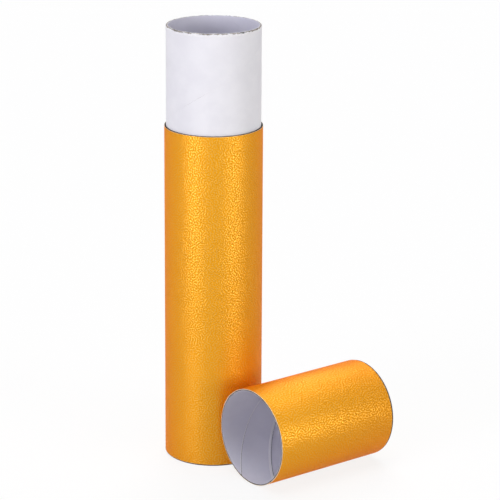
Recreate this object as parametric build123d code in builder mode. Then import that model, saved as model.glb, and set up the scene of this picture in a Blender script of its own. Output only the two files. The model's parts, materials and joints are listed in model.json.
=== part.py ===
"""Wound board mailing tube in pearl paper, with its slip-on cap lying beside it.

The tube stands on its base disc at the origin, with its axis along +Z. An inner tube, the
neck, runs from the base disc to well above the body, and the cap slides over what stands
proud. The cap lies on its side against the foot of the body, its axis along +X and its mouth
towards -X. All sizes are in millimetres.
"""

import os
from math import degrees

from build123d import *

# Overall sizes
outer_diameter = 50.0
body_length = 175.5
neck_proud = 51.0
cap_length = 73.5

# Walls: paper on glue on board, and the heavier board of the neck and the discs
wrap_thickness = 0.15
glue_line = 0.03
board_wall = 0.62
neck_wall = 1.0
disc_thickness = 2.0
disc_edge_break = 0.3

# Radial slip between the neck and the tubes round it
neck_clearance = 0.15

# Lap seam of each paper wrap: its width, the climb onto the lap, and its place on the round
lap_width = 8.0
lap_climb = 1.5
body_lap_angle = 45.0
cap_lap_angle = 25.0

# Spiral butt seams of the wound plies, each set by its height at angle zero
seam_lead = 96.0
seam_width = 0.5
seam_depth = 0.2
cap_seam_heights = (18.9, 38.5)
neck_inner_seam_height = 22.4
neck_outer_seam_height = 39.4

# Where the cap lies: its mouth before the tube's axis, and its gap to the body's side
cap_mouth_offset = 14.3
cap_side_gap = 0.15

# Radii from the outside in
outer_radius = outer_diameter / 2
wrap_inner_radius = outer_radius - wrap_thickness
board_outer_radius = wrap_inner_radius - glue_line
board_inner_radius = board_outer_radius - board_wall
neck_outer_radius = board_inner_radius - neck_clearance
neck_inner_radius = neck_outer_radius - neck_wall

# Lengths that follow from the ones above
body_tube_length = body_length - disc_thickness
neck_length = body_tube_length + neck_proud
cap_tube_length = cap_length - disc_thickness

# The body's plane has its axis upright. The cap's plane has its origin at the centre of the
# mouth, its axis pointing into the cap, and angle zero towards the body.
body_plane = Plane.XY
body_floor_plane = body_plane.offset(disc_thickness)
cap_plane = Plane(
    origin=(-cap_mouth_offset, -(outer_diameter + cap_side_gap), outer_radius),
    x_dir=(0, 1, 0),
    z_dir=(1, 0, 0),
)
cap_end_plane = cap_plane.offset(cap_tube_length)


def wrap_section(plane, lap_angle):
    """A paper wrap's cross-section: a ring with the sheet's end lapped over its start."""
    lap_sweep = degrees(lap_width / outer_radius)
    climb_sweep = degrees(lap_climb / outer_radius)
    with BuildSketch(plane) as section:
        Circle(outer_radius)
        with BuildLine():
            lap = CenterArc((0, 0), outer_radius + wrap_thickness, lap_angle, lap_sweep)
            foot = PolarLine((0, 0), outer_radius, lap_angle + lap_sweep + climb_sweep)
            Line(lap @ 1, foot @ 1)
            Line((0, 0), lap @ 0)
        make_face()
        Circle(wrap_inner_radius, mode=Mode.SUBTRACT)
    return section.sketch


def spiral_seam(plane, radius, tube_length, height_at_zero):
    """The strip that a spiral butt seam takes out of a wound wall, past both tube ends."""
    overrun = seam_width + seam_depth
    start_angle = -360 * (height_at_zero + overrun) / seam_lead
    with BuildPart() as strip:
        with BuildLine():
            path = Helix(seam_lead, tube_length + 2 * overrun, radius)
        with BuildSketch(Plane(path @ 0, x_dir=(1, 0, 0), z_dir=path % 0)):
            Rectangle(2 * seam_depth, seam_width)
        sweep(path=path, is_frenet=True)
    start = plane.location * Location((0, 0, -overrun), (0, 0, start_angle))
    return start * strip.part


# Body: the base disc, the board tube glued on it, and the paper round both
with BuildPart() as base_disc:
    with BuildSketch(body_plane):
        Circle(board_outer_radius)
    extrude(amount=disc_thickness)
    chamfer(base_disc.edges().sort_by(Axis.Z)[0], disc_edge_break)

with BuildPart() as body_tube:
    with BuildSketch(body_floor_plane):
        Circle(board_outer_radius)
        Circle(board_inner_radius, mode=Mode.SUBTRACT)
    extrude(amount=body_tube_length)

with BuildPart() as body_wrap:
    section = wrap_section(body_plane, body_lap_angle)
    extrude(section, amount=body_length, dir=body_plane.z_dir)

# Neck: the inner tube, standing on the base disc inside the body tube
neck_seams = [
    spiral_seam(body_floor_plane, neck_inner_radius, neck_length, neck_inner_seam_height),
    spiral_seam(body_floor_plane, neck_outer_radius, neck_length, neck_outer_seam_height),
]
with BuildPart() as neck_tube:
    with BuildSketch(body_floor_plane):
        Circle(neck_outer_radius)
        Circle(neck_inner_radius, mode=Mode.SUBTRACT)
    extrude(amount=neck_length)
    add(neck_seams, mode=Mode.SUBTRACT)

# Cap: the board tube, the disc glued on its far end, and the paper round both
cap_seams = [
    spiral_seam(cap_plane, board_inner_radius, cap_tube_length, height)
    for height in cap_seam_heights
]
with BuildPart() as cap_tube:
    with BuildSketch(cap_plane):
        Circle(board_outer_radius)
        Circle(board_inner_radius, mode=Mode.SUBTRACT)
    extrude(amount=cap_tube_length)
    add(cap_seams, mode=Mode.SUBTRACT)

with BuildPart() as cap_disc:
    with BuildSketch(cap_end_plane):
        Circle(board_outer_radius)
    extrude(amount=disc_thickness)
    chamfer(cap_disc.edges().sort_by(Axis.X)[-1], disc_edge_break)

with BuildPart() as cap_wrap:
    section = wrap_section(cap_plane, cap_lap_angle)
    extrude(section, amount=cap_length, dir=cap_plane.z_dir)

# Each finished piece goes to its own file
pieces = {
    "base_disc": base_disc,
    "body_tube": body_tube,
    "body_wrap": body_wrap,
    "neck_tube": neck_tube,
    "cap_tube": cap_tube,
    "cap_disc": cap_disc,
    "cap_wrap": cap_wrap,
}
os.makedirs("parts", exist_ok=True)
for name, piece in pieces.items():
    piece.part.label = name
    export_step(piece.part, f"parts/{name}.step")
    print(name, f"{piece.part.volume:.1f} mm3")
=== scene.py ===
# %% [markdown]
# This lesson dresses a mailing tube. A tube of wound board stands upright in orange pearl
# paper, its white inner tube stands proud of the top as a neck, and the cap that slides over
# the neck lies beside the foot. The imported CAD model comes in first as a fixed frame: it says
# where every piece is, and each dressed piece is then built in the same place.

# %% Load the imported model
import json
import math

import bmesh
import bpy
from mathutils import Matrix, Vector, noise


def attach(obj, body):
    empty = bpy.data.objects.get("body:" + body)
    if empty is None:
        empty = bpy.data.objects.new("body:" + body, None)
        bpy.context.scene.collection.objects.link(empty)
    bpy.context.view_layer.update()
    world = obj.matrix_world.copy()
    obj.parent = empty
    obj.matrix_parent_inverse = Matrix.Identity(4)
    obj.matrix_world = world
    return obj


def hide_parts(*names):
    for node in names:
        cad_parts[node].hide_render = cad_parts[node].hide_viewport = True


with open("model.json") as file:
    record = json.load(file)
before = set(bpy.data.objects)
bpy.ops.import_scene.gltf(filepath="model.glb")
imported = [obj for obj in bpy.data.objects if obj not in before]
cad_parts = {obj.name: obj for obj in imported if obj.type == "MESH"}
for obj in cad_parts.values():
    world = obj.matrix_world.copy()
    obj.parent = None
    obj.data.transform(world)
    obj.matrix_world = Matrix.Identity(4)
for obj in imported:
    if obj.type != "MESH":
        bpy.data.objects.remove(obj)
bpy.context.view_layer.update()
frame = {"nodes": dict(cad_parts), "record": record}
print("CAD nodes:", sorted(frame["nodes"]))

# %% [markdown]
# The sizes could be typed in again, but then a change in the CAD would leave the looks behind.
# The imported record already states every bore, slide and face with its place, so the radii and
# heights are read from there. Only what the record has no line for, such as the thickness of
# the paper, is a number of this script's own.

# %% Read the sizes off the frame
mm = 0.001
mounts = {mount["name"]: mount for mount in frame["record"]["mounts"]}

neck_radius = mounts["neck"]["dims"]["r_mm"] * mm
bore_radius = mounts["contents_bore"]["dims"]["r_mm"] * mm
socket_radius = mounts["cap_socket"]["dims"]["r_mm"] * mm
body_top = mounts["neck"]["pos_m"][2]
neck_top = mounts["contents_bore"]["pos_m"][2]
disc_thickness = neck_top - mounts["contents_bore"]["dims"]["length_mm"] * mm

cap_mouth = Vector(mounts["cap_socket"]["pos_m"])
socket_depth = mounts["cap_socket"]["dims"]["length_mm"] * mm
cap_length = socket_depth + disc_thickness
outer_radius = cap_mouth.z

paper_thickness = 0.15 * mm
glue_line = 0.03 * mm
wrap_inner_radius = outer_radius - paper_thickness
board_radius = wrap_inner_radius - glue_line
print(f"outer radius {outer_radius / mm:.2f} mm, board radius {board_radius / mm:.2f} mm")
print(f"body {body_top / mm:.1f} mm high, cap {cap_length / mm:.1f} mm long")

# %% [markdown]
# The camera comes before any surface, because every later choice is judged through it. It was
# fitted to the photograph: a long lens from about 1.4 m away, a little above the tube and
# looking down, turned so that the cap's open mouth faces it. Its place is built from the turn
# round the tube, then the small swing, tilt and roll of the camera itself.

# %% Set the camera
camera_distance = 1.3445
camera_height = 0.5272
camera_turn = math.radians(-37.584)
camera_swing = math.radians(-0.796)
camera_tilt = math.radians(-17.278)
camera_roll = math.radians(0.301)
camera_lens = 197.96

camera_data = bpy.data.cameras.new("photo_camera")
camera_data.lens = camera_lens
camera_data.sensor_width = 36.0
camera = bpy.data.objects.new("photo_camera", camera_data)
camera_place = Matrix.Translation((
    camera_distance * math.sin(camera_turn),
    -camera_distance * math.cos(camera_turn),
    camera_height,
))
camera.matrix_world = (
    camera_place
    @ Matrix.Rotation(camera_turn + camera_swing, 4, "Z")
    @ Matrix.Rotation(math.pi / 2 + camera_tilt, 4, "X")
    @ Matrix.Rotation(camera_roll, 4, "Z")
)
bpy.context.scene.collection.objects.link(camera)
bpy.context.scene.camera = camera
print("camera at", [round(x, 3) for x in camera.matrix_world.translation])

# %% [markdown]
# Every finish is a small network of nodes, and most lines in such a network say the same thing:
# add a node, set a few of its values, and join a few of its inputs. Helpers do that, so each
# material below reads like a recipe. A value that is itself a socket is joined by a link, and
# anything else is set as the input's own value.

# %% Helpers for materials
def set_inputs(tree, node, inputs):
    """Link each input whose value is a socket, and set the others."""
    for socket, value in inputs.items():
        if isinstance(value, bpy.types.NodeSocket):
            tree.links.new(value, node.inputs[socket])
        else:
            node.inputs[socket].default_value = value


def add_node(tree, kind, inputs=None, **settings):
    """Add a node, set its properties, and set or link its inputs."""
    node = tree.nodes.new(kind)
    for name, value in settings.items():
        setattr(node, name, value)
    set_inputs(tree, node, inputs or {})
    return node


def new_finish(name):
    """A material with its node tree, its shader and its Object coordinates."""
    material = bpy.data.materials.new(name)
    material.use_nodes = True
    tree = material.node_tree
    shader = tree.nodes["Principled BSDF"]
    place = add_node(tree, "ShaderNodeTexCoord").outputs["Object"]
    return material, tree, shader, place


print("material helpers are ready")

# %% [markdown]
# All the bare paper and board on the tube shares one effect: pulp. Seen close, it has a faint
# cloudiness where the fibres bunched, and a fine tooth that light catches. It could be painted
# into each material, but a node group built once and given its own scale in each is easier to
# tune. It puts out a clouded colour and a height for a bump.

# %% The pulp group that the papers share
pulp_sockets = {
    "INPUT": {
        "Place": "NodeSocketVector",
        "Light": "NodeSocketColor",
        "Dark": "NodeSocketColor",
        "Cloud Scale": "NodeSocketFloat",
        "Tooth Scale": "NodeSocketFloat",
    },
    "OUTPUT": {"Color": "NodeSocketColor", "Height": "NodeSocketFloat"},
}
pulp = bpy.data.node_groups.new("pulp", "ShaderNodeTree")
for side, sockets in pulp_sockets.items():
    for name, kind in sockets.items():
        pulp.interface.new_socket(name, in_out=side, socket_type=kind)

pulp_in = pulp.nodes.new("NodeGroupInput").outputs
cloud = add_node(
    pulp,
    "ShaderNodeTexNoise",
    {"Vector": pulp_in["Place"], "Scale": pulp_in["Cloud Scale"], "Detail": 5.0, "Roughness": 0.6},
)
tooth = add_node(
    pulp,
    "ShaderNodeTexNoise",
    {"Vector": pulp_in["Place"], "Scale": pulp_in["Tooth Scale"], "Detail": 3.0, "Roughness": 0.7},
)
cloud_tone = add_node(
    pulp,
    "ShaderNodeMapRange",
    {"Value": cloud.outputs["Fac"], "From Min": 0.32, "From Max": 0.68},
    interpolation_type="SMOOTHSTEP",
)
clouded = add_node(
    pulp,
    "ShaderNodeMix",
    {"Factor": cloud_tone.outputs["Result"], "A": pulp_in["Dark"], "B": pulp_in["Light"]},
    data_type="RGBA",
)
add_node(
    pulp,
    "NodeGroupOutput",
    {"Color": clouded.outputs["Result"], "Height": tooth.outputs["Fac"]},
)
print("pulp group:", len(pulp.nodes), "nodes")

# %% [markdown]
# Every paper but the pearl one is this pulp with other values. A material could be drawn for
# each, node by node, but they differ only in two colours, two scales, the height of the tooth
# and how rough they are, so one function makes them all.

# %% A function for plain papers
paper_gloss = 0.3


def pulp_finish(name, light, dark, cloud_scale, tooth_scale, tooth_height, roughness):
    """A bare paper or board: clouded colour, a fine tooth and no gloss to speak of."""
    material, tree, shader, place = new_finish(name)
    fibre = add_node(
        tree,
        "ShaderNodeGroup",
        {
            "Place": place,
            "Light": (*light, 1.0),
            "Dark": (*dark, 1.0),
            "Cloud Scale": cloud_scale,
            "Tooth Scale": tooth_scale,
        },
        node_tree=pulp,
    )
    bump = add_node(
        tree,
        "ShaderNodeBump",
        {"Height": fibre.outputs["Height"], "Strength": 1.0, "Distance": tooth_height},
    )
    set_inputs(
        tree,
        shader,
        {
            "Base Color": fibre.outputs["Color"],
            "Normal": bump.outputs["Normal"],
            "Roughness": roughness,
            "Specular IOR Level": paper_gloss,
        },
    )
    print("paper:", name)
    return material


print("plain papers have a gloss of", paper_gloss)

# %% [markdown]
# The lining is a coated paper, smooth and with hardly any tooth: white on the outside of the
# neck and a cooler lilac white inside the tubes. A third copy is paler, for a seam's edge that
# has lifted into a lip: that is a painted highlight, the light the lip catches. The three share
# everything but their colours, so their scales are written once.

# %% Coated linings
coated = {"cloud_scale": 90.0, "tooth_scale": 1800.0, "tooth_height": 0.004 * mm, "roughness": 0.62}

white_lining = pulp_finish("white_lining", (0.90, 0.89, 0.925), (0.86, 0.85, 0.89), **coated)
lilac_lining = pulp_finish("lilac_lining", (0.81, 0.80, 0.89), (0.77, 0.76, 0.855), **coated)
# A paler copy of the lining for lifted lips: a painted highlight.
seam_lip = pulp_finish("seam_lip", (0.97, 0.96, 0.99), (0.94, 0.93, 0.97), **coated)

# %% [markdown]
# The other papers are raw. Torn paper is white and fuzzy. Bare board is grey-brown with flecks.
# Where a sawn edge shows only as a thin line between two papers, and in the cap's crease and the
# neck's nick, the board is nearly black: its own dark colour with painted shade of the gaps and
# hollows where it lies. The cut edge of the orange sheet shows its cream core, and the end discs
# are pressed card. Here the tooth is coarse enough to catch the light, so it is given more height.

# %% Raw papers and boards
torn_fibre = pulp_finish(
    "torn_fibre",
    (0.97, 0.96, 0.97),
    (0.86, 0.85, 0.88),
    cloud_scale=900.0,
    tooth_scale=3000.0,
    tooth_height=0.05 * mm,
    roughness=0.85,
)
bare_board = pulp_finish(
    "bare_board",
    (0.52, 0.47, 0.43),
    (0.12, 0.10, 0.085),
    cloud_scale=520.0,
    tooth_scale=2600.0,
    tooth_height=0.05 * mm,
    roughness=0.9,
)
# Nearly black board for sawn edges in gaps, the crease and the nick: dark board with painted shade.
dark_edge = pulp_finish(
    "dark_edge",
    (0.075, 0.055, 0.042),
    (0.025, 0.018, 0.014),
    cloud_scale=900.0,
    tooth_scale=2600.0,
    tooth_height=0.05 * mm,
    roughness=0.9,
)
sheet_core = pulp_finish(
    "sheet_core",
    (0.95, 0.86, 0.68),
    (0.86, 0.74, 0.54),
    cloud_scale=1500.0,
    tooth_scale=2600.0,
    tooth_height=0.02 * mm,
    roughness=0.85,
)
pressed_card = pulp_finish(
    "pressed_card",
    (0.70, 0.68, 0.66),
    (0.60, 0.58, 0.555),
    cloud_scale=260.0,
    tooth_scale=1500.0,
    tooth_height=0.012 * mm,
    roughness=0.8,
)

# %% [markdown]
# The orange sheet is a pearl paper, pressed all over with a fine grain that runs in short,
# swirling rows of dots. It was pressed before it was wound, so the grain can't follow the round
# tube in space: it reads a UV map that holds each point's place on the flat sheet, in metres.
# First comes the swirl. A slow noise says at each place which way the rows run.

# %% Swirl of the grain
swirl_scale = 60.0
swirl_turn = 1.6

pearl_paper, pearl, pearl_shader, pearl_place = new_finish("orange_pearl_paper")
flat_place = add_node(pearl, "ShaderNodeUVMap", uv_map="flat_sheet").outputs["UV"]
swirl = add_node(
    pearl,
    "ShaderNodeTexNoise",
    {"Vector": flat_place, "Scale": swirl_scale, "Detail": 1.0, "Roughness": 0.5},
)
grain_turn = add_node(
    pearl,
    "ShaderNodeMapRange",
    {
        "Value": swirl.outputs["Fac"],
        "From Min": 0.3,
        "From Max": 0.7,
        "To Min": -swirl_turn,
        "To Max": swirl_turn,
    },
)
print(f"the rows turn by up to {math.degrees(swirl_turn):.0f} degrees either way")

# %% [markdown]
# Then come the rows. Level lines of a plain noise would crowd in one place and spread in the
# next. Gabor noise is made of small wave packets of one length, and the sine of its phase is a
# wave of one even height, which runs as the swirl says. Two such waves, read from different
# places on the sheet, are added, so that their lines break into dots.

# %% Grain of the pearl paper
grain_width = 1.25 * mm
packet_lines = 1.8
second_wave_shift = 0.37


def grain_wave(shift):
    """One even wave over the sheet, read from a place moved by shift both ways."""
    moved = add_node(
        pearl, "ShaderNodeVectorMath", {0: flat_place, 1: (shift, shift, 0.0)}, operation="ADD"
    )
    packets = add_node(
        pearl,
        "ShaderNodeTexGabor",
        {
            "Vector": moved.outputs["Vector"],
            "Scale": 1 / (grain_width * packet_lines),
            "Frequency": packet_lines,
            "Anisotropy": 0.1,
            "Orientation": grain_turn.outputs["Result"],
        },
        gabor_type="2D",
    )
    phase = add_node(
        pearl, "ShaderNodeMath", {0: packets.outputs["Phase"], 1: math.tau}, operation="MULTIPLY"
    )
    wave = add_node(pearl, "ShaderNodeMath", {0: phase.outputs["Value"]}, operation="SINE")
    return wave.outputs["Value"]


grain = add_node(
    pearl,
    "ShaderNodeMath",
    {0: grain_wave(0.0), 1: grain_wave(second_wave_shift)},
    operation="ADD",
).outputs["Value"]
print(f"grain of the pearl paper: lines {grain_width / mm:.2f} mm apart")

# %% [markdown]
# A pearl paper is dyed pulp under a film of mica. One flat orange would look like plastic. So
# the dye is faintly cloudy, and the grain does two jobs: it tilts the surface through a bump,
# and it gathers the mica. Where the mica lies, the colour is paler and the shader is part
# metal, because a metal's gloss takes the surface's own colour, as this paper's does.

# %% Dye and mica of the pearl paper
grain_height = 0.03 * mm
most_mica = 0.85
dye_scale = 55.0
dye_dark = (0.84, 0.447, 0.013, 1.0)
dye_light = (0.88, 0.472, 0.018, 1.0)
mica_color = (0.82, 0.542, 0.12, 1.0)

grain_bump = add_node(
    pearl, "ShaderNodeBump", {"Height": grain, "Strength": 1.0, "Distance": grain_height}
)
mica = add_node(
    pearl,
    "ShaderNodeMapRange",
    {"Value": grain, "From Min": -0.3, "From Max": 0.8, "To Min": 0.0, "To Max": most_mica},
)
dye_cloud = add_node(
    pearl,
    "ShaderNodeTexNoise",
    {"Vector": pearl_place, "Scale": dye_scale, "Detail": 4.0, "Roughness": 0.55},
)
dye = add_node(
    pearl,
    "ShaderNodeMix",
    {"Factor": dye_cloud.outputs["Fac"], "A": dye_dark, "B": dye_light},
    data_type="RGBA",
)
pearl_color = add_node(
    pearl,
    "ShaderNodeMix",
    {"Factor": mica.outputs["Result"], "A": dye.outputs["Result"], "B": mica_color},
    data_type="RGBA",
)
set_inputs(
    pearl,
    pearl_shader,
    {
        "Base Color": pearl_color.outputs["Result"],
        "Normal": grain_bump.outputs["Normal"],
        "Metallic": mica.outputs["Result"],
    },
)
print("mica covers up to", most_mica, "of the pearl paper")

# %% [markdown]
# The paper glows in long upright bands. A plain gloss would show a light only where it mirrors
# it to the eye, which asks for a light at just the right height. So the anisotropic setting
# stretches the gloss along the tube, and takes its direction from the flat sheet's own map.
# Towards its edges the sheet turns a deeper orange. That is a thin dyed film, and the shader's
# coat can be one: its tint deepens where the light crosses it at a slant, and an IOR close to
# that of air keeps it from adding a mirror of its own.

# %% Gloss and film of the pearl paper
tangent = add_node(pearl, "ShaderNodeTangent", direction_type="UV_MAP", uv_map="flat_sheet")
set_inputs(
    pearl,
    pearl_shader,
    {
        "Tangent": tangent.outputs["Tangent"],
        "Anisotropic": 0.8,
        "Anisotropic Rotation": 0.25,
        "Roughness": 0.42,
        "Specular IOR Level": 0.08,
        "Coat Weight": 1.0,
        "Coat Roughness": 0.5,
        "Coat IOR": 1.05,
        "Coat Tint": (0.99, 0.78, 0.55, 1.0),
    },
)
print("pearl paper:", len(pearl.nodes), "nodes")

# %% [markdown]
# Most pieces here are round, so a few helpers carry the shapes. One draws a closed outline of
# radii and heights in the half plane beside the axis, and one spins it once round. Two read a
# point's distance and angle from the axis, and one picks the vertices or the edges out of what
# an operator made. After a spin the doubles are merged first, and then the faces turn outwards.

# %% Helpers for shapes
axis_up = Vector((0, 0, 1))
same_place = 0.0001 * mm


def off_axis(point):
    """A point's distance from the upright axis."""
    return math.hypot(point.x, point.y)


def bearing(point):
    """A point's angle round the upright axis."""
    return math.atan2(point.y, point.x)


def pick(items, kind):
    """The items of one kind, such as edges, out of what an operator made."""
    return [item for item in items if isinstance(item, kind)]


def draw_outline(bm, points):
    """A closed outline of (radius, height) points in the half plane towards +X."""
    verts = [bm.verts.new((radius, 0, height)) for radius, height in points]
    edges = [bm.edges.new(pair) for pair in zip(verts, verts[1:] + verts[:1])]
    return verts + edges


def spin_full(bm, outline, steps):
    """Spin an outline once round the upright axis, and close the seam."""
    bmesh.ops.spin(
        bm, geom=outline, cent=(0, 0, 0), axis=axis_up, angle=math.tau, steps=steps, use_merge=True
    )
    bmesh.ops.remove_doubles(bm, verts=bm.verts, dist=same_place)
    bmesh.ops.recalc_face_normals(bm, faces=bm.faces)


print("shape helpers are ready")

# %% [markdown]
# Every shape becomes a piece in the same way. The object stays at the origin, with its place in
# its mesh. Its faces are smooth, and an edge stays crisp where two of them meet at a sharp
# angle. The piece rides on the CAD body and stands for its CAD node. A piece of the cap is built
# upright like the rest, and then laid down: the cap's own axis runs from its mouth inwards,
# with angle zero towards the body.

# %% Helper for pieces
crisp_angle = math.radians(35)


def make_piece(name, bm, finishes, node=None):
    """Turn a bmesh into a piece on the CAD body, standing for its CAD node if it has one."""
    for face in bm.faces:
        face.smooth = True
    for edge in bm.edges:
        edge.smooth = edge.calc_face_angle(0) < crisp_angle
    mesh = bpy.data.meshes.new(name)
    bm.to_mesh(mesh)
    bm.free()
    for finish in finishes:
        mesh.materials.append(finish)
    piece = bpy.data.objects.new(name, mesh)
    bpy.context.scene.collection.objects.link(piece)
    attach(piece, "root")
    if node:
        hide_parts(node)
    print(f"{name}: {len(mesh.polygons)} faces")


cap_turn = Matrix(((0, 0, 1), (1, 0, 0), (0, 1, 0))).to_4x4()
cap_place = Matrix.Translation(cap_mouth) @ cap_turn
print("cap's mouth at", [round(x / mm, 2) for x in cap_mouth], "mm")

# %% [markdown]
# The grain needs each point's place on the sheet before it was wound. Blender could unwrap the
# mesh, but it would choose a scale and a turn of its own. The place is known here: across, the
# turn from the sheet's free edge times the radius, and along, the height. The cap is seen at a
# slant, which squeezes its grain until it is lost, so its grain may be laid a little longer.

# %% Flat map of a sheet
def lay_flat(bm, lap_angle, grain_stretch):
    """Keep each point's place on the sheet before it was wound, measured from its free edge."""
    flat_sheet = bm.loops.layers.uv.new("flat_sheet")
    for face in bm.faces:
        turn = (bearing(face.calc_center_median()) - lap_angle) % math.tau
        for loop in face.loops:
            point = loop.vert.co
            step = bearing(point) - lap_angle - turn
            step = (step + math.pi) % math.tau - math.pi
            loop[flat_sheet].uv = ((turn + step) * outer_radius, point.z / grain_stretch)


print(f"one turn of the sheet is {math.tau * outer_radius / mm:.1f} mm long")

# %% [markdown]
# Handling rubs the orange off the cut edges of the sheet, and the cream core shows there as a
# fine pale line. It could be painted on, but the edge is also a little rounded. So the rims are
# bevelled, and only faces that still look straight outwards keep the pearl finish.

# %% Worn edges of a sheet
edge_wear = 0.07 * mm
level_within = 0.001 * mm
straight_out = 0.95
sheet_finishes = [pearl_paper, sheet_core]


def wear_edges(bm):
    """Round the rims of a wound sheet, and show its core wherever it isn't facing outwards."""
    rims = [
        edge
        for edge in bm.edges
        if abs(edge.verts[0].co.z - edge.verts[1].co.z) < level_within
        and edge.calc_face_angle(0) > crisp_angle
    ]
    bmesh.ops.bevel(
        bm,
        geom=rims,
        offset=edge_wear,
        offset_type="OFFSET",
        affect="EDGES",
        segments=2,
        profile=0.5,
        material=-1,
    )
    for face in bm.faces:
        outward = face.calc_center_median()
        outward.z = 0
        on_face = face.normal.dot(outward.normalized()) > straight_out
        face.material_index = sheet_finishes.index(pearl_paper if on_face else sheet_core)


print(f"sheet edges are worn {edge_wear / mm:.2f} mm deep")

# %% [markdown]
# The paper round the body is one sheet, wound once and lapped over its own start. A plain
# cylinder would lose the lap. So the sheet's cut end, a sliver as thick as the paper and as
# tall as the tube, is spun round the axis like a sheet on a winding machine: once round, then
# a short climb of one paper thickness, then on over the start to the free edge.

# %% Winding a sheet
lap_width = 8.0 * mm
lap_climb = 1.5 * mm
lap_sweep = lap_width / outer_radius
climb_sweep = lap_climb / outer_radius
sheet_steps = 180
climb_steps = 4
lap_steps = 10


def wind_sheet(low, high, lap_angle, grain_stretch=1.0):
    """A paper sheet wound once round its tube, with its end lapped over its start."""
    bm = bmesh.new()
    start = draw_outline(
        bm,
        [
            (wrap_inner_radius, low),
            (outer_radius, low),
            (outer_radius, high),
            (wrap_inner_radius, high),
        ],
    )
    start_edges = pick(start, bmesh.types.BMEdge)
    to_lap = Matrix.Rotation(lap_angle + lap_sweep, 3, "Z")
    bmesh.ops.rotate(bm, verts=bm.verts, cent=(0, 0, 0), matrix=to_lap)

    def wind(geometry, angle, steps):
        """Carry a cut end on round the tube, and give back the end that it comes to."""
        wound = bmesh.ops.spin(
            bm, geom=geometry, cent=(0, 0, 0), axis=-axis_up, angle=angle, steps=steps
        )
        return wound["geom_last"]

    end = wind(start, math.tau - climb_sweep, sheet_steps)
    for step in range(climb_steps):
        end = wind(end, climb_sweep / climb_steps, 1)
        lifted = outer_radius + paper_thickness * (step + 1) / climb_steps
        growth = lifted / (outer_radius + paper_thickness * step / climb_steps)
        bmesh.ops.scale(bm, verts=pick(end, bmesh.types.BMVert), vec=(growth, growth, 1))
    end = wind(end, lap_sweep, lap_steps)
    bmesh.ops.contextual_create(bm, geom=start_edges)
    bmesh.ops.contextual_create(bm, geom=pick(end, bmesh.types.BMEdge))
    bmesh.ops.recalc_face_normals(bm, faces=bm.faces)
    wear_edges(bm)
    lay_flat(bm, lap_angle, grain_stretch)
    return bm


print(f"a sheet laps over its start by {math.degrees(lap_sweep):.1f} degrees")

# %% [markdown]
# The sheets stop a little short of what they cover: a hair at the body's top, more at its foot
# and most at the cap's closed end. There the cut edge of the board or the card shows as the fine
# line that outlines the ends, nearly black: dark board with painted shade of the gap. Both laps
# are turned to the sides that the camera doesn't see. Only the cap's sheet gets the longer grain.

# %% The two orange sheets
top_setback = 0.2 * mm
foot_setback = 0.75 * mm
cap_setback = 1.15 * mm
body_lap_angle = math.radians(45)
cap_lap_angle = math.radians(25)
cap_grain_stretch = 1.2

bm = wind_sheet(foot_setback, body_top - top_setback, body_lap_angle)
make_piece("orange_body_sheet", bm, sheet_finishes, "body_wrap")

bm = wind_sheet(0.0, cap_length - cap_setback, cap_lap_angle, cap_grain_stretch)
bmesh.ops.transform(bm, matrix=cap_place, verts=bm.verts)
make_piece("orange_cap_sheet", bm, sheet_finishes, "cap_wrap")

# %% [markdown]
# Under the paper is a tube of bare board. Only its cut edge shows, at the body's top round the
# neck, and a saw leaves such an edge a little uneven. A bump would vanish on so thin an edge,
# so the wall is an outline spun once round, with its top edge rounded and then nudged up and
# down by a slow noise.

# %% Board tube of the body
board_steps = 360
edge_round = 0.1 * mm
shoulder_drop = 0.15 * mm
crest_drop = 0.03 * mm
middle_drop = 0.05 * mm
cut_depth = 0.1 * mm
cut_unevenness = 0.06 * mm
saw_scale = 900


def roughen(verts):
    """Nudge vertices along the axis by a smooth noise, as a saw leaves a cut edge."""
    for vert in verts:
        vert.co.z += cut_unevenness * noise.noise(vert.co * saw_scale)


bm = bmesh.new()
outline = draw_outline(
    bm,
    [
        (board_radius, disc_thickness),
        (board_radius, body_top - shoulder_drop),
        (board_radius - edge_round, body_top - crest_drop),
        ((socket_radius + board_radius) / 2, body_top - middle_drop),
        (socket_radius + edge_round, body_top - crest_drop),
        (socket_radius, body_top - shoulder_drop),
        (socket_radius, disc_thickness),
    ],
)
spin_full(bm, outline, board_steps)
roughen([vert for vert in bm.verts if vert.co.z > body_top - cut_depth])
# The tube takes the nearly black finish: its cut edge is dark board with painted shade of the gap
# round the neck.
make_piece("body_board_tube", bm, [dark_edge], "body_tube")

# %% [markdown]
# The neck and the cap's lining are wound too, but from narrow strips at a slant, so each wall
# carries a spiral seam where the strip's edges butt. A groove cut into a tube would only look
# like one. Here a strip as wide as one turn is spun with a rise at each step, which lays it
# down as the machine does, and then both ends are trimmed flat and the strip is thickened.

# %% Winding a strip into a ply
seam_lead = 96.0 * mm
ply_steps = 180


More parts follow.
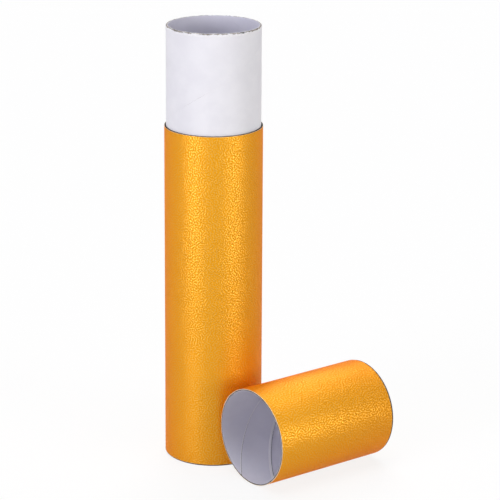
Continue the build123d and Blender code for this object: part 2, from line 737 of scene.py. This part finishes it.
def wind_ply(face_radius, thickness, seam_height, low, high, strip):
    """A strip wound in a helix, trimmed between two heights.

    face_radius is the side that shows, and thickness goes from there outwards, or inwards
    where it is negative. strip is a list of (distance up the strip, lift towards the viewer).
    """
    turns_below = math.ceil((seam_height - low) / seam_lead) + 1
    first_edge = seam_height - turns_below * seam_lead
    turns = math.ceil((high - first_edge) / seam_lead) + 1
    towards_viewer = -1 if thickness > 0 else 1
    bm = bmesh.new()
    verts = [
        bm.verts.new((face_radius + towards_viewer * lift, 0, first_edge + up)) for up, lift in strip
    ]
    edges = [bm.edges.new(pair) for pair in zip(verts, verts[1:])]
    bmesh.ops.spin(
        bm,
        geom=verts + edges,
        cent=(0, 0, 0),
        axis=axis_up,
        dvec=(0, 0, seam_lead / ply_steps),
        angle=math.tau * turns,
        steps=ply_steps * turns,
    )
    for height, side in ((low, -1), (high, 1)):
        bmesh.ops.bisect_plane(
            bm,
            geom=[*bm.verts, *bm.edges, *bm.faces],
            plane_co=(0, 0, height),
            plane_no=(0, 0, side),
            clear_outer=True,
        )
    bmesh.ops.recalc_face_normals(bm, faces=bm.faces)
    sample = next(iter(bm.faces))
    faces_out = sample.normal.dot(sample.calc_center_median()) > 0
    if faces_out == (thickness > 0):
        bmesh.ops.reverse_faces(bm, faces=bm.faces)
    bmesh.ops.solidify(bm, geom=bm.faces, thickness=abs(thickness))
    radii = [off_axis(vert.co) / mm for vert in bm.verts]
    print(f"ply wound {turns} turns, radius {min(radii):.2f} to {max(radii):.2f} mm")
    return bm


print(f"a strip rises {seam_lead / mm:.0f} mm a turn")

# %% [markdown]
# The cap's lining shows two spirals: the butt seam, whose edge has lifted into a fine lip, and
# a crease where the ply beneath has its own seam, with a dark line beside it. Both could be
# drawn in the material, but then they would catch no light. They are shaped in the strip's own
# section, so they run round the wall by themselves, and a face's place up the strip says
# whether it is on a lip, in the dark line or plain. A lip takes the paler lining, a painted
# highlight of the light it catches, and the dark line takes the nearly black board, painted
# shade of the crease.

# %% Lining of the cap
lining_thickness = 0.08 * mm
cap_seam_height = 18.9 * mm
butt_gap = 0.28 * mm
crease_up = 19.6 * mm
lip_widths = {crease_up: 1.6 * mm, seam_lead: 0.6 * mm}
crease_shadow = 0.3 * mm
lining_strip = [
    (butt_gap, -0.04 * mm),
    (butt_gap + 0.6 * mm, 0.0),
    (crease_up - 1.6 * mm, 0.0),
    (crease_up - 0.2 * mm, 0.26 * mm),
    (crease_up, 0.22 * mm),
    (crease_up + 0.1 * mm, -0.09 * mm),
    (crease_up + 0.35 * mm, -0.07 * mm),
    (crease_up + 0.8 * mm, 0.0),
    (seam_lead - 1.7 * mm, 0.0),
    (seam_lead - 0.5 * mm, 0.12 * mm),
    (seam_lead, 0.13 * mm),
]
cap_finishes = [lilac_lining, dark_edge, sheet_core, seam_lip]


def lining_finish(point):
    """The finish of the lining at a point, by its distance up the strip."""
    turn = bearing(point) / math.tau
    up = (point.z - cap_seam_height - turn * seam_lead) % seam_lead
    # A lip gets the painted highlight, and the strip just past the crease gets painted shade.
    if any((edge - up) % seam_lead < width for edge, width in lip_widths.items()):
        return seam_lip
    if (up - crease_up) % seam_lead < crease_shadow:
        return dark_edge
    return lilac_lining


cap_tube = wind_ply(
    socket_radius, lining_thickness, cap_seam_height, 0.0, socket_depth, lining_strip
)
for face in cap_tube.faces:
    face.material_index = cap_finishes.index(lining_finish(face.calc_center_median()))
print("cap's lining:", len(cap_tube.faces), "faces")

# %% [markdown]
# Behind the lining is the board of the cap, whose sawn edge makes the dark ring round the
# mouth, with the pale edge of its outermost ply beside the orange sheet. The ring is the nearly
# black board finish: dark board with painted shade of the mouth's edge. The board is spun from
# an outline and roughened like the body's, and then joined to the lining, because the two are
# one tube that stands for one CAD node.

# %% Board of the cap
outer_ply = 0.12 * mm
ply_edge = 0.02 * mm
ply_seam = 0.005 * mm
mouth_depth = 0.3 * mm


def join(bm, other):
    """Add another bmesh's geometry to this one."""
    mesh = bpy.data.meshes.new("joined")
    other.to_mesh(mesh)
    other.free()
    bm.from_mesh(mesh)
    bpy.data.meshes.remove(mesh)


core = bmesh.new()
outline = draw_outline(
    core,
    [
        (socket_radius + lining_thickness, 0.0),
        (board_radius - outer_ply, 0.0),
        (board_radius - outer_ply + ply_edge, 0.0),
        (board_radius, ply_edge),
        (board_radius, socket_depth),
        (socket_radius + lining_thickness, socket_depth),
    ],
)
spin_full(core, outline, board_steps)
roughen([vert for vert in core.verts if vert.co.z < mouth_depth])
# The sawn edge gets the nearly black finish: dark board with painted shade.
for face in core.faces:
    in_ply = off_axis(face.calc_center_median()) > board_radius - outer_ply + ply_seam
    face.material_index = cap_finishes.index(sheet_core if in_ply else dark_edge)
join(cap_tube, core)
bmesh.ops.transform(cap_tube, matrix=cap_place, verts=cap_tube.verts)
make_piece("cap_lined_tube", cap_tube, cap_finishes, "cap_tube")

# %% [markdown]
# The neck has a white ply outside, a lilac white one inside, and brown board between. Its walls
# are wound like the cap's lining, but their seams are tight, and hardly show. They stop two
# millimetres below the top, because the torn rim needs far more faces than a smooth wall, and
# is made on its own.

# %% Neck walls
neck_ply = 0.25 * mm
board_outside = neck_radius - neck_ply
board_inside = bore_radius + neck_ply
rim_height = 2.0 * mm
rim_base = neck_top - rim_height
neck_inner_seam = disc_thickness + 22.4 * mm
neck_outer_seam = disc_thickness + 39.4 * mm
tight_strip = [
    (0.06 * mm, 0.0),
    (0.8 * mm, 0.0),
    (seam_lead / 2, 0.0),
    (seam_lead - 0.8 * mm, 0.0),
    (seam_lead, 0.03 * mm),
]
neck_finishes = [white_lining, bare_board, lilac_lining]

outside = wind_ply(
    neck_radius, -neck_ply, neck_outer_seam, disc_thickness, rim_base, tight_strip
)
inside = wind_ply(bore_radius, neck_ply, neck_inner_seam, disc_thickness, rim_base, tight_strip)
core = bmesh.new()
outline = draw_outline(
    core,
    [
        (board_inside, disc_thickness),
        (board_outside, disc_thickness),
        (board_outside, rim_base),
        (board_inside, rim_base),
    ],
)
spin_full(core, outline, board_steps)
for layer, finish in ((outside, white_lining), (inside, lilac_lining), (core, bare_board)):
    for face in layer.faces:
        face.material_index = neck_finishes.index(finish)
join(outside, inside)
join(outside, core)
make_piece("neck_walls", outside, neck_finishes, "neck_tube")

# %% [markdown]
# The rim is where the neck was cut, and the photograph shows it torn: the white outer ply frays
# into points, and the board between the plies lies bare and has a nick in it. Bump could only
# hint at that, so the rim is a ring of its own with many narrow faces. It starts whole. The
# section goes up the outer ply, over the board and down the inner ply, and each of its points
# names the finish of the stretch that starts there.

# %% Section of the torn rim
rim_steps = 900
tear_depth = 0.35 * mm
lip_height = 0.8 * mm
torn_top = neck_top - tear_depth
rim_section = [
    (neck_radius, rim_base, white_lining),
    (neck_radius, torn_top - lip_height, torn_fibre),
    (neck_radius + 0.02 * mm, torn_top - lip_height / 2, torn_fibre),
    (neck_radius - 0.12 * mm, torn_top, torn_fibre),
    (board_outside, torn_top - 0.1 * mm, bare_board),
    (board_outside, neck_top - 0.2 * mm, bare_board),
    (board_outside - 0.08 * mm, neck_top - 0.04 * mm, bare_board),
    (board_outside - 0.25 * mm, neck_top - 0.08 * mm, bare_board),
    (board_inside, neck_top - 0.05 * mm, torn_fibre),
    (bore_radius + 0.05 * mm, neck_top, lilac_lining),
    (bore_radius, neck_top - 0.3 * mm, lilac_lining),
    (bore_radius, rim_base, lilac_lining),
]
rim = bmesh.new()
outline = draw_outline(rim, [(radius, height) for radius, height, finish in rim_section])
spin_full(rim, outline, rim_steps)
print("rim before it is torn:", len(rim.faces), "faces")

# %% [markdown]
# A spin forgets which stretch each face came from, and after the tear nobody could tell. So the
# faces get their finishes now, while the ring is whole: a face takes the finish of the stretch
# whose middle is nearest. In the nick, where the board is broken out, it takes the nearly black
# finish: dark board with painted shade of the hollow.

# %% Finishes of the torn rim
nick_angle = math.radians(269)
nick_half_width = math.radians(4)
rim_finishes = [white_lining, torn_fibre, bare_board, lilac_lining, dark_edge]
stretches = []
for here, there in zip(rim_section, rim_section[1:] + rim_section[:1]):
    stretches.append(((here[0] + there[0]) / 2, (here[1] + there[1]) / 2, here[2]))


def from_nick(point):
    """A point's angle from the middle of the nick, in half widths of it."""
    return abs(bearing(point) % math.tau - nick_angle) / nick_half_width


def rim_finish(point):
    """The finish of the stretch of the section whose middle is nearest to a point."""
    out, up = off_axis(point), point.z
    radius, height, finish = min(stretches, key=lambda s: math.hypot(s[0] - out, s[1] - up))
    # In the nick the bare board turns nearly black: dark board with painted shade of the hollow.
    if finish == bare_board and from_nick(point) < 1:
        return dark_edge
    return finish


for face in rim.faces:
    face.material_index = rim_finishes.index(rim_finish(face.calc_center_median()))
nick_faces = [face for face in rim.faces if face.material_index == rim_finishes.index(dark_edge)]
print("faces in the nick:", len(nick_faces))

# %% [markdown]
# Now the ring is torn. Fibres give way in large steps and small ones at once, so each vertex is
# moved by a slow, a quick and a fine noise. The outer ply swings most and frays outwards, the
# board is eaten back and sinks into its nick, and the inner ply only wavers. The noise is
# Blender's own and depends on the place alone, so every run tears the rim in the same way.

# %% Tear the rim
ply_swing = 0.5 * mm
ply_fray = 0.12 * mm
ply_limit = 0.05 * mm
board_swing = 0.16 * mm
board_drop = 0.08 * mm
nick_depth = 0.8 * mm
lining_swing = 0.1 * mm
lining_drop = 0.06 * mm
tear_scales = (260, 800, 2400)
tear_line = torn_top - 0.6 * lip_height

for vert in rim.verts:
    if vert.co.z < tear_line:
        continue
    radius = off_axis(vert.co)
    nick = from_nick(vert.co)
    slow, quick, fine = [noise.noise(vert.co * scale) for scale in tear_scales]
    if radius > board_outside + 0.05 * mm:
        vert.co.z += ply_swing * (0.9 * slow + 0.9 * quick + 0.6 * fine)
        vert.co.z = min(vert.co.z, neck_top - ply_limit)
        spread = 1 + ply_fray * max(0.0, quick + fine) / radius
        vert.co.x *= spread
        vert.co.y *= spread
    elif radius > board_inside - 0.02 * mm:
        vert.co.z += board_swing * (quick + fine) - board_drop
        if nick < 1 and radius > board_inside + 0.05 * mm:
            vert.co.z -= nick_depth * (1 - nick ** 4) * (0.9 + 0.4 * quick)
    else:
        vert.co.z += lining_swing * (slow + quick) - lining_drop
heights = [vert.co.z for vert in rim.verts]
print(f"torn rim from {min(heights) / mm:.2f} to {max(heights) / mm:.2f} mm")

# %% [markdown]
# The cut isn't quite square: it stands about a millimetre higher in front than behind. Tilting
# the whole ring would open a step where it meets the walls, so each vertex is raised by its
# share of the ring's height, and the ring's foot stays where it is.

# %% Slant the cut
slant_rise = 1.0 * mm
front = Vector((math.sin(camera_turn), -math.cos(camera_turn)))

for vert in rim.verts:
    forward = 0.5 + 0.5 * vert.co.xy.normalized().dot(front)
    vert.co.z += slant_rise * forward * max(0.0, vert.co.z - rim_base) / rim_height
make_piece("neck_torn_rim", rim, rim_finishes)

# %% [markdown]
# A disc of card closes the foot of the tube and another the far end of the cap. The outer face
# carries a round of the orange paper, cut a little smaller than the card, and the inner face is
# bare. A plain cylinder would lose the paper's step and the broken edge, so a circle of paper
# is made first, and its rim is extruded outwards and upwards from one ring to the next.

# %% A card disc
disc_steps = 180
disc_edge = 0.3 * mm
facing_radius = board_radius - 0.55 * mm
facing_edge = 0.04 * mm
disc_rings = (
    (facing_radius + facing_edge, facing_edge),
    (facing_radius + facing_edge, paper_thickness),
    (board_radius - disc_edge, paper_thickness),
    (board_radius, paper_thickness + disc_edge),
    (board_radius, disc_thickness),
)
disc_finishes = [pearl_paper, dark_edge, pressed_card]


def disc_finish(point):
    """Card on the inner face, pearl paper on the facing, and dark board with painted shade round the
    edge.
    """
    if point.z > disc_thickness - 0.01 * mm:
        return pressed_card
    if off_axis(point) < facing_radius + 0.03 * mm:
        return pearl_paper
    return dark_edge


def card_disc():
    """A card disc with its paper facing at height zero and its bare side above."""
    bm = bmesh.new()
    flat_sheet = bm.loops.layers.uv.new("flat_sheet")
    bmesh.ops.create_circle(bm, cap_ends=True, radius=facing_radius, segments=disc_steps)
    rim_edges = bm.edges[:]
    for radius, height in disc_rings:
        grown = bmesh.ops.extrude_edge_only(bm, edges=rim_edges)["geom"]
        ring = pick(grown, bmesh.types.BMVert)
        rim_edges = pick(grown, bmesh.types.BMEdge)
        growth = radius / off_axis(ring[0].co)
        bmesh.ops.scale(bm, verts=ring, vec=(growth, growth, 1))
        bmesh.ops.translate(bm, verts=ring, vec=(0, 0, height - ring[0].co.z))
    bmesh.ops.contextual_create(bm, geom=rim_edges)
    bmesh.ops.recalc_face_normals(bm, faces=bm.faces)
    for face in bm.faces:
        face.material_index = disc_finishes.index(disc_finish(face.calc_center_median()))
        for loop in face.loops:
            loop[flat_sheet].uv = loop.vert.co.xy
    return bm


make_piece("foot_disc", card_disc(), disc_finishes, "base_disc")

# %% [markdown]
# The cap's disc is the same, with its facing at the far end. A mirrored copy would come out
# inside out, so the disc is turned over about a level axis instead, set at the cap's full
# length, and then laid down with the cap.

# %% Closed end of the cap
turn_over = Matrix.Translation((0, 0, cap_length)) @ Matrix.Rotation(math.pi, 4, "X")

bm = card_disc()
bmesh.ops.transform(bm, matrix=cap_place @ turn_over, verts=bm.verts)
make_piece("cap_closed_end", bm, disc_finishes, "cap_disc")

# %% [markdown]
# The floor is a wide pale sheet. To look white it would have to be lit harder than the tube, so
# instead part of what a camera or a reflection sees of it is plain white light, and the rest is
# matt white that still takes the tube's soft shadow. Light that bounces off it onto the tube
# only meets a matt pale grey. A helper tells the seen rays from the others.

# %% Pale floor's finish
floor_white_share = 0.85
floor_grey = (0.74, 0.74, 0.74, 1.0)
plain_white = (1.0, 1.0, 1.0, 1.0)


def seen_rays(tree):
    """One for a ray from the camera, from a gloss or through glass, and zero for the others."""
    rays = add_node(tree, "ShaderNodeLightPath").outputs
    seen = rays["Is Camera Ray"]
    for kind in ("Is Glossy Ray", "Is Transmission Ray"):
        either = add_node(tree, "ShaderNodeMath", {0: seen, 1: rays[kind]}, operation="MAXIMUM")
        seen = either.outputs["Value"]
    return seen


floor_finish = bpy.data.materials.new("pale_floor")
floor_finish.use_nodes = True
tree = floor_finish.node_tree
tree.nodes.clear()
seen = seen_rays(tree)
share = add_node(tree, "ShaderNodeMath", {0: seen, 1: floor_white_share}, operation="MULTIPLY")
shade = add_node(
    tree,
    "ShaderNodeMix",
    {"Factor": seen, "A": floor_grey, "B": plain_white},
    data_type="RGBA",
)
matt = add_node(tree, "ShaderNodeBsdfDiffuse", {"Color": shade.outputs["Result"]})
white = add_node(tree, "ShaderNodeEmission", {"Color": plain_white, "Strength": 1.0})
mix = add_node(
    tree,
    "ShaderNodeMixShader",
    {0: share.outputs["Value"], 1: matt.outputs["BSDF"], 2: white.outputs["Emission"]},
)
add_node(tree, "ShaderNodeOutputMaterial", {"Surface": mix.outputs["Shader"]})
print("floor's finish:", len(tree.nodes), "nodes")

# %% [markdown]
# The floor itself is a single square, wide enough that the camera never sees its end from any
# side. It lies a hair below the tube, because two faces in one plane would flicker through
# each other. Unlike the pieces, it is not attached to the tube's body.

# %% Pale floor
floor_half_width = 6.0
floor_drop = 0.02 * mm

bm = bmesh.new()
bmesh.ops.create_grid(bm, x_segments=1, y_segments=1, size=floor_half_width)
bmesh.ops.translate(bm, verts=bm.verts, vec=(0, 0, -floor_drop))
floor_mesh = bpy.data.meshes.new("pale_floor")
bm.to_mesh(floor_mesh)
bm.free()
floor_mesh.materials.append(floor_finish)
floor = bpy.data.objects.new("pale_floor", floor_mesh)
bpy.context.scene.collection.objects.link(floor)
print("floor", 2 * floor_half_width, "m wide")

# %% [markdown]
# Two soft lights stand low to the left and right of the camera: each lays one of the two
# upright glowing bands on the paper. One overhead lights the cap's back and the floor, a weak
# one high on the left softens the step between them, and one behind lights the far sides and
# the inside of the neck. Area lamps would fade across the floor, so all five are suns with a
# wide disc, whose light is as even as a large studio's.

# %% Studio lights
camera_bearing = math.degrees(camera_turn)
cool_white = (0.97, 0.965, 1.03)
warm_white = (1.0, 0.99, 0.98)
even_white = (1.0, 1.0, 1.0)


def soft_light(name, turn, height, width, strength, color):
    """A sun with a wide disc: its turn from the camera, height and width are in degrees."""
    data = bpy.data.lights.new(name, "SUN")
    data.energy = strength
    data.angle = math.radians(width)
    data.color = color
    light = bpy.data.objects.new(name, data)
    around = math.radians(camera_bearing + turn)
    across = math.cos(math.radians(height))
    towards = Vector((
        math.sin(around) * across,
        -math.cos(around) * across,
        math.sin(math.radians(height)),
    ))
    light.rotation_euler = (-towards).to_track_quat("-Z", "Y").to_euler()
    bpy.context.scene.collection.objects.link(light)
    print(f"{name}: strength {strength}")


soft_light("left_light", turn=-47, height=7, width=28, strength=1.58, color=cool_white)
soft_light("right_light", turn=51, height=6, width=28, strength=1.34, color=warm_white)
soft_light("top_light", turn=0, height=85, width=40, strength=1.2, color=even_white)
soft_light("high_light", turn=-50, height=55, width=40, strength=0.42, color=cool_white)
soft_light("back_light", turn=180, height=45, width=40, strength=1.38, color=even_white)

# %% [markdown]
# The world is a faint cool fill, which keeps the shadows from going black. Seen by the camera
# or in a gloss it is plain white instead, like the floor, so that the two meet without a line.
# The Standard view transform shows each colour about as it is written.

# %% World
fill_color = (0.93, 0.93, 1.0, 1.0)
fill_strength = 0.04

world = bpy.data.worlds.new("studio")
world.use_nodes = True
bpy.context.scene.world = world
tree = world.node_tree
tree.nodes.clear()
fill = add_node(tree, "ShaderNodeBackground", {"Color": fill_color, "Strength": fill_strength})
backdrop = add_node(tree, "ShaderNodeBackground", {"Color": plain_white, "Strength": 1.0})
mix = add_node(
    tree,
    "ShaderNodeMixShader",
    {0: seen_rays(tree), 1: fill.outputs["Background"], 2: backdrop.outputs["Background"]},
)
add_node(tree, "ShaderNodeOutputWorld", {"Surface": mix.outputs["Shader"]})
bpy.context.scene.view_settings.view_transform = "Standard"
print("a fill of", fill_strength, "before a white backdrop")
